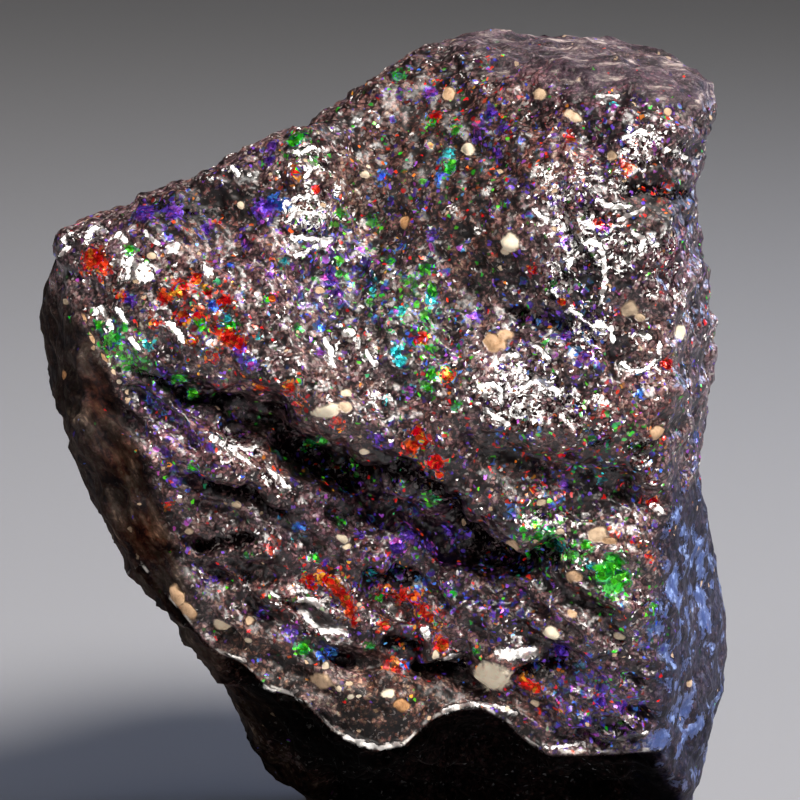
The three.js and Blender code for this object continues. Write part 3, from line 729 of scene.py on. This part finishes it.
class Finish:
    """A material that is put together from nodes."""

    def __init__(self, name):
        self.material = bpy.data.materials.new(name)
        self.material.use_nodes = True
        self.tree = self.material.node_tree
        self.tree.nodes.clear()

    def node(self, kind, settings, sockets, *outputs):
        """Adds a node: its settings first, then the values or links of its sockets."""
        made = self.tree.nodes.new(kind)
        for setting, value in settings.items():
            if setting == "stops":
                self.set_stops(made.color_ramp, value)
            else:
                setattr(made, setting, value)
        for socket, value in sockets.items():
            if isinstance(value, Wire):
                self.tree.links.new(value.socket, made.inputs[socket])
            else:
                made.inputs[socket].default_value = value
        wires = [Wire(self, made.outputs[output]) for output in outputs]
        return wires[0] if len(wires) == 1 else wires

    def set_stops(self, ramp, stops):
        while len(ramp.elements) < len(stops):
            ramp.elements.new(1.0)
        for element, (place, colour) in zip(ramp.elements, stops):
            element.position = place
            element.color = (*colour, 1)

    def maths(self, operation, *values):
        return self.node("ShaderNodeMath", {"operation": operation}, dict(enumerate(values)), 0)

    def vector(self, operation, *values):
        return self.node("ShaderNodeVectorMath", {"operation": operation}, dict(enumerate(values)), 0)

    def scaled(self, vector, scale):
        return self.node("ShaderNodeVectorMath", {"operation": "SCALE"}, {0: vector, "Scale": scale}, 0)

    def parts(self, colour):
        return self.node("ShaderNodeSeparateColor", {}, {0: colour}, 0, 1, 2)

    def ramp(self, value, stops):
        return self.node("ShaderNodeValToRGB", {"stops": stops}, {0: value}, "Color")

    def mix(self, amount, first, second, blend="MIX"):
        settings = {"data_type": "RGBA", "blend_type": blend}
        return self.node("ShaderNodeMix", settings, {0: amount, 6: first, 7: second}, 2)

    def turned(self, amount, normal, face):
        return self.node("ShaderNodeMix", {"data_type": "VECTOR"}, {0: amount, 4: normal, 5: face}, 1)

    def noise(self, place, size, detail=2.0, rough=0.5, output=0):
        sockets = {"Vector": place, "Scale": 1 / size, "Detail": detail, "Roughness": rough}
        return self.node("ShaderNodeTexNoise", {}, sockets, output)

    def cells(self, place, size):
        """Cells of about a size: a colour for each, and how far it is from a cell's middle."""
        sockets = {"Vector": place, "Scale": 1 / size}
        return self.node("ShaderNodeTexVoronoi", {}, sockets, "Color", "Distance")

    def between(self, low, high, value):
        sockets = {"Value": value, "From Min": low, "From Max": high}
        return self.node("ShaderNodeMapRange", {"interpolation_type": "SMOOTHSTEP"}, sockets, 0)

    def painted(self, name):
        """The four amounts that were noted on the surface under a name."""
        settings = {"attribute_name": name}
        colour, last = self.node("ShaderNodeAttribute", settings, {}, "Color", "Alpha")
        return *self.parts(colour), last

    def shader(self, **sockets):
        """A surface shader. An underscore stands for a space in a socket's name."""
        sockets = {name.replace("_", " "): value for name, value in sockets.items()}
        return self.node("ShaderNodeBsdfPrincipled", {}, sockets, 0)

    def show(self, surface):
        self.node("ShaderNodeOutputMaterial", {}, {"Surface": surface})


def rgb(red, green, blue):
    return red, green, blue, 1


# ---- Dark rock and opal -----------------------------------------------------------------------

KEY_PLACE = (0.20, -0.22, 0.50)
RIGHT_PLACE = (0.45, 0.35, 0.22)

# Sizes of the bits that the rock breaks into, in millimetres.
CRUMB = 0.15
GRAIN = 0.21
FLAKE = 0.43
SPECK = 0.5

RED_FIRE = [
    (0.0, (0.55, 0.0, 0.01)), (0.45, (0.95, 0.015, 0.01)), (0.75, (1.0, 0.09, 0.015)),
    (1.0, (1.0, 0.46, 0.04)),
]
GREEN_FIRE = [
    (0.0, (0.01, 0.22, 0.03)), (0.4, (0.02, 0.70, 0.02)), (0.75, (0.16, 0.88, 0.02)),
    (1.0, (0.04, 0.55, 0.25)),
]
VIOLET_FIRE = [
    (0.0, (0.05, 0.02, 0.30)), (0.5, (0.13, 0.05, 0.62)), (0.8, (0.34, 0.10, 0.72)),
    (1.0, (0.62, 0.08, 0.50)),
]
BLUE_FIRE = [(0.0, (0.02, 0.05, 0.50)), (0.5, (0.04, 0.15, 0.85)), (1.0, (0.10, 0.40, 0.85))]
CYAN_FIRE = [(0.0, (0.02, 0.45, 0.55)), (1.0, (0.05, 0.75, 0.75))]
ROCK = [
    (0.0, (0.003, 0.001, 0.002)), (0.24, (0.018, 0.009, 0.010)), (0.42, (0.094, 0.054, 0.058)),
    (0.6, (0.23, 0.148, 0.152)), (0.8, (0.45, 0.34, 0.32)), (0.98, (0.98, 0.87, 0.78)),
]
OLD_SKIN = [
    (0.36, (0.002, 0.001, 0.002)), (0.44, (0.008, 0.003, 0.003)), (0.50, (0.028, 0.010, 0.005)),
    (0.55, (0.030, 0.022, 0.014)), (0.62, (0.062, 0.040, 0.032)), (0.70, (0.22, 0.16, 0.11)),
]
LEDGE = [
    (0.37, (0.004, 0.002, 0.004)), (0.45, (0.030, 0.015, 0.026)), (0.53, (0.085, 0.055, 0.078)),
    (0.59, (0.26, 0.20, 0.20)), (0.66, (0.80, 0.66, 0.60)),
]
MUTED = [
    (0.0, (1.25, 0.84, 0.60)), (0.25, (1.05, 0.80, 1.16)), (0.5, (0.80, 1.02, 0.86)),
    (0.75, (0.90, 0.92, 1.05)), (1.0, (1.35, 0.92, 0.90)),
]
SLATE = [(0.35, (0.001, 0.001, 0.004)), (0.5, (0.009, 0.009, 0.027)), (0.7, (0.05, 0.056, 0.13))]

PAINTED_BLUE_SHEEN = rgb(0.12, 0.20, 0.55)
PALE_CRUMB = rgb(0.40, 0.34, 0.32)
TAN = rgb(0.62, 0.28, 0.09)
CREAM = rgb(1.0, 0.87, 0.66)
PAINTED_GLINT = rgb(0.5, 0.47, 0.46)
LIP_HIGHLIGHT = rgb(0.9, 0.84, 0.78)

# What a colour is multiplied by where the rock leans that way, and by painted shade in creases and under the
# lip.
BROWNER = rgb(1.06, 0.77, 0.60)
PLUM = rgb(0.98, 0.70, 0.94)
GREY_GREEN = rgb(0.84, 1.03, 0.92)
RUSTY = rgb(1.5, 0.8, 0.5)
PLAINER = rgb(0.55, 0.48, 0.33)
CREASE_SHADE = rgb(0.25, 0.22, 0.20)
MOTTLED = rgb(0.52, 0.43, 0.36)
PAINTED_UNDER_LIP_SHADE = rgb(0.04, 0.035, 0.035)


def face_to(light):
    """How a small face is turned that sends a light out to the front."""
    return tuple(((Vector(light) - AIM).normalized() + TOWARDS_EYE).normalized())


def what_grows(finish):
    """What was noted on the surface, as wires."""
    on = SimpleNamespace()
    on.gleam, on.thread, on.ledge, on.right = finish.painted("rock")
    on.closest, on.pale, on.hollow, on.skin = finish.painted("growth")
    on.red, on.green, on.violet, on.blue = finish.painted("fire")
    on.past_lip, on.in_front, on.cyan, on.blue_shine = finish.painted("lip")
    on.brown, on.plum, on.grey, on.calm = finish.painted("tint")
    on.covered = on.skin.at_least(on.ledge * 0.9)
    return on


def broken_bits(finish, mm):
    """The crumbs, grains and flakes of the rock, and the noise that runs through it."""
    bits = SimpleNamespace()
    bits.torn = finish.noise(mm, 0.3, detail=2)
    bits.cloud = finish.noise(mm, 0.62, detail=4, rough=0.7)
    wobble = finish.noise(mm, 0.4, detail=2, output="Color")
    shaken = finish.vector("MULTIPLY_ADD", wobble, (0.5, 0.5, 0.5), mm)
    bits.aside = finish.vector("ADD", shaken, (31.0, 17.0, 5.0))
    bits.grain, bits.grain_edge = finish.cells(shaken, GRAIN)
    bits.chance, bits.hue, bits.shine = finish.parts(bits.grain)
    flake, bits.flake_edge = finish.cells(bits.aside, FLAKE)
    bits.flake_chance, bits.flake_hue, bits.flake_shine = finish.parts(flake)
    bits.crumb, bits.crumb_chance, _ = finish.parts(finish.cells(bits.aside, CRUMB)[0])
    return bits


def glassy_threads(finish, mm, on, bits):
    """Where glassy threads, beads and curls run through the rock, later painted paler as highlights."""
    curl = abs(finish.noise(mm, 0.42, detail=1) - 0.5)
    thread = (on.thread + 0.85 * (bits.torn - 0.53)).at_least(0.58 * on.gleam + bits.torn - 0.57)
    thread = finish.between(0.46, 0.68, thread)
    return thread.at_least(finish.between(0.07, 0.04, curl) * finish.between(0.4, 0.9, on.gleam))


def glints(finish, on, bits):
    """Where crumbs and grains of the rock catch the light."""
    less = 0.06 * on.calm + 0.03 * on.brown
    small = finish.between(0.94, 0.98, bits.crumb_chance + 0.17 * on.gleam - less)
    large = finish.between(0.96, 0.99, 0.3 * bits.flake_chance + 0.7 * bits.shine + 0.16 * on.gleam - less)
    return small.at_least(large) * (1 - on.covered) * (1 - on.right) * (1 - 0.7 * on.hollow)


def bare_rock(finish, mm, on, bits):
    """Dark rock, from painted shade that is nearly black in the hollows to pale crumbs, and leaning to other
    colours.
    """
    drift = finish.noise(mm, 3.4, detail=2)
    gaps = finish.between(0.42, 0.75, bits.grain_edge)
    tone = 0.36 * bits.shine + 0.28 * bits.crumb + 1.35 * bits.cloud + 0.8 * (drift - 0.5)
    # painted shade: darker in the hollows and recesses
    tone = tone - 0.5 * on.hollow - 0.24 * gaps - 0.475
    tone = tone - 0.13 * on.brown.at_most(1) - 0.03 * on.plum.at_most(1)
    tone = tone + on.calm * (1.3 * bits.torn + 0.5 * bits.flake_shine - 0.98) + 0.09 * on.grey.at_most(1)
    rock = finish.ramp(tone, ROCK)
    rock = finish.mix(on.calm, rock, PLAINER, "MULTIPLY")
    patches = finish.between(0.42, 0.6, finish.noise(mm, 6.5, detail=2))
    for amount, tint in [(0.5 * patches + on.brown, BROWNER), (on.plum, PLUM), (on.grey, GREY_GREEN)]:
        rock = finish.mix(amount.at_most(1), rock, tint, "MULTIPLY")
    rock = finish.mix(0.7, rock, finish.ramp(bits.hue, MUTED), "MULTIPLY")
    pale_crumb = finish.between(0.90, 0.95, bits.crumb_chance) * (1 - 0.7 * on.hollow.at_most(1))
    return finish.mix(0.6 * pale_crumb, rock, PALE_CRUMB)


def covered_rock(finish, mm, on, bits, rock, shine_patch):
    """The rock's colour under the old skin, the beds on top and the blue right side, with painted blue
    reflections.
    """
    turn = math.radians(-90 - SKIN_TURN)
    along_skin = finish.node("ShaderNodeMapping", {"vector_type": "TEXTURE"}, {
        "Vector": mm, "Rotation": (0, turn, 0), "Scale": (1, 1, 3.2),
    }, 0)
    old = finish.ramp(finish.noise(along_skin, 0.65, detail=4, rough=0.65), OLD_SKIN)
    rock = finish.mix(on.skin * 0.92, rock, old)
    rock = finish.mix(on.skin * on.brown.at_most(1), rock, RUSTY, "MULTIPLY")
    # painted shade: the old skin is darker in its creases and below the lip
    rock = finish.mix(on.skin * on.hollow.at_most(1), rock, CREASE_SHADE, "MULTIPLY")
    beds = finish.noise(finish.vector("MULTIPLY", mm, (0.3, 1.0, 1.4)), 0.95, detail=5, rough=0.68)
    rock = finish.mix(on.ledge * 0.7, rock, finish.ramp(beds, LEDGE))
    rock = finish.mix(on.right * 0.85, rock, finish.ramp(0.5 * bits.cloud + 0.5 * bits.torn, SLATE))
    # painted reflection: blue patches painted into the colour of the right side
    amount = shine_patch * (0.15 + 0.4 * on.blue_shine.at_most(1) + 0.2 * bits.crumb)
    return finish.mix(amount, rock, PAINTED_BLUE_SHEEN)


def blue_patches(finish, mm, on, bits):
    """Where the right side shines blue."""
    strewn = 0.42 * on.right * finish.between(0.5, 0.66, finish.noise(mm, 1.3, detail=1))
    shine = on.blue_shine.at_least(strewn) + 0.9 * (bits.torn - 0.5) + 0.2 * (bits.crumb - 0.5)
    return finish.between(0.28, 0.38, shine)


def opal_flecks(finish, mm, on, bits, under_lip_shade):
    """Flecks of opal in pools of one colour: their colour, where they are, and where they are solid."""
    bare = (1 - 0.97 * on.skin) * (1 - 0.8 * on.ledge) * (1 - 0.95 * on.right) * (1 - under_lip_shade)
    bare = bare * (1 - 0.35 * on.hollow) * (1 - 0.85 * on.calm)
    pools = finish.noise(mm, 1.7, detail=2, rough=0.6, output="Color")
    red_pool, green_pool, violet_pool = finish.parts(pools)
    blue_pool = finish.noise(bits.aside, 1.5, detail=2, rough=0.6)
    redness = 0.012 + 0.03 * on.brown + 0.16 * finish.between(0.6, 0.72, red_pool)
    greenness = 0.007 + 0.10 * finish.between(0.6, 0.72, green_pool)
    fewer = (1 - 0.7 * on.brown).at_least(0)
    violetness = 0.022 + 0.13 * finish.between(0.52, 0.68, violet_pool) * fewer
    blueness = 0.006 + 0.07 * finish.between(0.6, 0.74, blue_pool)
    to_red = redness * bare * (1 - on.green) + 1.2 * on.red
    to_green = to_red + (greenness * bare + 1.2 * on.green)
    to_violet = to_green + (violetness * bare + 1.2 * on.violet)
    to_blue = to_violet + (blueness * bare + 1.2 * on.blue)
    to_cyan = to_blue + 1.2 * on.cyan
    solid = finish.between(0.6, 1.0, to_cyan)

    def flecked(draw, tint, edge, share):
        """Colour of the flecks, and where they are."""
        colour = finish.ramp(tint, CYAN_FIRE)
        for up_to, fire in [
            (to_blue, BLUE_FIRE), (to_violet, VIOLET_FIRE), (to_green, GREEN_FIRE), (to_red, RED_FIRE),
        ]:
            colour = finish.mix(draw < up_to * share, colour, finish.ramp(tint, fire))
        whole = finish.between(0.8, 0.35, edge).at_least(0.7 * solid)
        return colour, (draw < to_cyan * share) * whole

    small_colour, small = flecked(bits.chance, bits.hue, bits.grain_edge, 1.0)
    large_colour, large = flecked(bits.flake_chance + 0.06, bits.flake_hue, bits.flake_edge, 0.8)
    colour = finish.mix(large, small_colour, large_colour)
    brightness = 0.6 * (large * bits.flake_shine + (1 - large) * bits.shine) + 0.4 * bits.shine
    colour = finish.mix(1.0, colour, 0.25 + 1.1 * brightness * brightness, "MULTIPLY")
    colour = finish.mix(solid, colour, 0.6 + 1.1 * bits.crumb, "MULTIPLY")
    return colour, small.at_least(large), solid


def cream_grains(finish, mm, on, bits, under_lip_shade):
    """The cream and tan grains, placed and strewn: their colour, and where they are."""
    ragged = on.closest * OFF_GRAINS + 0.8 * (finish.noise(mm, 0.5, detail=2) - 0.5)
    chance, edge = finish.cells(bits.aside, SPECK)
    specks = finish.parts(chance)[0] < 0.016 + 0.03 * on.calm
    specks = specks * finish.between(0.36, 0.26, edge) * (1 - 0.6 * on.covered) * (1 - under_lip_shade)
    mottle = finish.between(0.42, 0.72, finish.noise(mm, 0.4, detail=3, rough=0.7)) * (0.9 - 0.6 * on.pale)
    colour = finish.mix(mottle.at_most(1), finish.mix(on.pale, TAN, CREAM), MOTTLED, "MULTIPLY")
    return colour, finish.between(1.15, 0.8, ragged).at_least(specks)


def painted_lip_highlight(finish, mm, on, bits):
    """A painted highlight: the thin bright line where the front breaks off below."""
    off_lip = abs(on.past_lip - 0.5 + 0.04 * (bits.cloud - 0.5))
    lip_highlight = finish.between(0.035, 0.01, off_lip) * on.in_front
    return lip_highlight * finish.between(0.48, 0.6, finish.noise(mm, 1.0, detail=3))


def rock_finish():
    finish = Finish("opal_matrix_finish")
    mm = finish.scaled(finish.node("ShaderNodeTexCoord", {}, {}, "Object"), 1 / MM)
    on = what_grows(finish)
    bits = broken_bits(finish, mm)
    on.hollow = on.hollow * (1.4 - 0.6 * bits.shine - 0.2 * bits.crumb)
    # painted shade: the front below the lip is marked to be made nearly black
    under_lip_shade = finish.between(0.5, 0.56, on.past_lip + 0.03 * (bits.cloud - 0.5)) * on.in_front
    shine_patch = blue_patches(finish, mm, on, bits)
    fleck_colour, fleck, solid = opal_flecks(finish, mm, on, bits, under_lip_shade)
    thread = glassy_threads(finish, mm, on, bits).at_least(glints(finish, on, bits) * (1 - solid))
    fleck = fleck * (0.35 + 0.65 * bits.shine).at_least(solid) * (1 - 0.6 * thread)
    cream_colour, cream = cream_grains(finish, mm, on, bits, under_lip_shade)
    lip_highlight = painted_lip_highlight(finish, mm, on, bits)

    # colour, with painted shade and painted highlights, and emission as painted light
    rock = bare_rock(finish, mm, on, bits)
    colour = covered_rock(finish, mm, on, bits, rock, shine_patch)
    colour = finish.mix(fleck, colour, fleck_colour)
    # painted highlight: threads and glints are painted paler
    colour = finish.mix(thread * 0.4, colour, PAINTED_GLINT)
    # painted shade below the lip
    colour = finish.mix(under_lip_shade, colour, PAINTED_UNDER_LIP_SHADE, "MULTIPLY")
    # painted highlight along the lip
    colour = finish.mix(lip_highlight, colour, LIP_HIGHLIGHT)
    colour = finish.mix(cream, colour, cream_colour)
    # painted light: flecks and cream grains are emissive, so they stay bright in the shade
    fleck_glow_share = fleck * (1 - cream) * (1 - under_lip_shade) * (1 - 0.6 * on.hollow)
    painted_glow = finish.mix(fleck_glow_share, rgb(0, 0, 0), fleck_colour)
    painted_glow = finish.mix((0.45 + 0.5 * on.pale * on.pale) * cream * (1 - under_lip_shade), painted_glow, cream_colour)

    # light catches the grains at many angles, and the glassy places at the key light's angle
    normal = finish.node("ShaderNodeNewGeometry", {}, {}, "Normal")
    lean = finish.between(0.1, 0.7, on.gleam).at_least(thread) * (1 - cream)
    leant = finish.turned(0.75 * lean + 0.18 * thread, normal, face_to(KEY_PLACE))
    leant = finish.turned(0.6 * shine_patch, leant, face_to(RIGHT_PLACE))
    tilt_by = (0.03 + 0.22 * (1 - lean) * (1 - 0.6 * on.right) + 0.3 * fleck) * (1 - cream)
    tilt_by = tilt_by * (1 - 0.3 * on.covered) * (1 - 0.6 * on.calm)
    tilt = finish.scaled(finish.vector("SUBTRACT", bits.grain, (0.5, 0.5, 0.5)), tilt_by)
    tilted = finish.vector("NORMALIZE", finish.vector("ADD", leant, tilt))
    worms = finish.noise(mm, 0.92, detail=1, rough=0.3) * (1 - 0.5 * cream) * (1 - 0.6 * thread)
    smooth = (0.7 * on.ledge).at_least(0.35 * on.right)
    bump = finish.node("ShaderNodeBump", {}, {
        "Strength": 1.0, "Distance": 0.5 * MM, "Normal": tilted,
        "Height": worms * (1 - smooth) + 0.4 * smooth * bits.torn,
    }, 0)

    rough = 0.28 - 0.22 * lean + 0.05 * thread + 0.1 * bits.cloud
    rough = rough + 0.4 * on.covered + 0.2 * cream + 0.2 * on.right
    rough = rough - 0.2 * shine_patch + (0.3 * on.calm).at_least(0.15 * on.brown)
    glassy = finish.shader(
        Base_Color=colour, Roughness=rough, Metallic=(0.5 * fleck).at_least(0.95 * solid) * (1 - cream),
        Normal=bump, IOR=1.6, Specular_IOR_Level=0.7, Emission_Color=painted_glow, Emission_Strength=0.48,
    )
    dull = finish.shader(Base_Color=colour, Roughness=0.9, Specular_IOR_Level=0.05, Normal=bump)
    shade = under_lip_shade + finish.between(0.4, 1.0, on.hollow) + 0.7 * on.skin + 0.45 * on.calm
    shade = shade + 0.4 * on.ledge + 0.5 * on.right * (1 - shine_patch)
    shade = shade.at_most(1) * (1 - lip_highlight) * (1 - thread) * (1 - cream) + 0.6 * cream
    finish.show(finish.node("ShaderNodeMixShader", {}, {0: shade, 1: glassy, 2: dull}, 0))
    return finish.material


# ---- The studio -------------------------------------------------------------------------------


def add_floor():
    mesh = bmesh.new()
    bmesh.ops.create_grid(mesh, x_segments=1, y_segments=1, size=6)
    floor = as_object(mesh, "floor")
    finish = Finish("pale_floor")
    finish.show(finish.shader(Base_Color=rgb(0.42, 0.42, 0.44), Roughness=0.7, Specular_IOR_Level=0.2))
    floor.data.materials.append(finish.material)


def add_light(name, place, size, power, colour, spread=180):
    lamp = bpy.data.lights.new(name, "AREA")
    lamp.shape = "DISK"
    lamp.spread = math.radians(spread)
    lamp.size = size
    lamp.energy = power
    lamp.color = colour
    light = bpy.data.objects.new(name, lamp)
    light.location = place
    light.rotation_euler = (Vector(place) - AIM).to_track_quat("Z", "Y").to_euler()
    bpy.context.scene.collection.objects.link(light)


def add_studio():
    add_floor()
    add_light("key_light", KEY_PLACE, 0.27, 0.55, (1.0, 0.96, 0.91), spread=60)
    add_light("left_light", (-0.75, -0.7, 0.7), 0.35, 0.10, (1.0, 0.95, 0.88), spread=60)
    add_light("right_light", RIGHT_PLACE, 0.24, 0.14, (0.5, 0.64, 1.0), spread=50)
    add_light("floor_light", (0.9, 0.9, 1.2), 0.8, 2.0, (1.0, 0.98, 0.96))
    world = bpy.data.worlds.new("studio")
    world.use_nodes = True
    sky = world.node_tree.nodes["Background"]
    sky.inputs["Color"].default_value = rgb(0.80, 0.80, 0.84)
    sky.inputs["Strength"].default_value = 0.05
    bpy.context.scene.world = world
    bpy.context.scene.view_settings.view_transform = "Standard"


# ---- Putting it together ----------------------------------------------------------------------

add_camera()
add_studio()
rock = broken_rock()
rock.data.materials.append(rock_finish())
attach(rock, "root")
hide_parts("opal_stone")
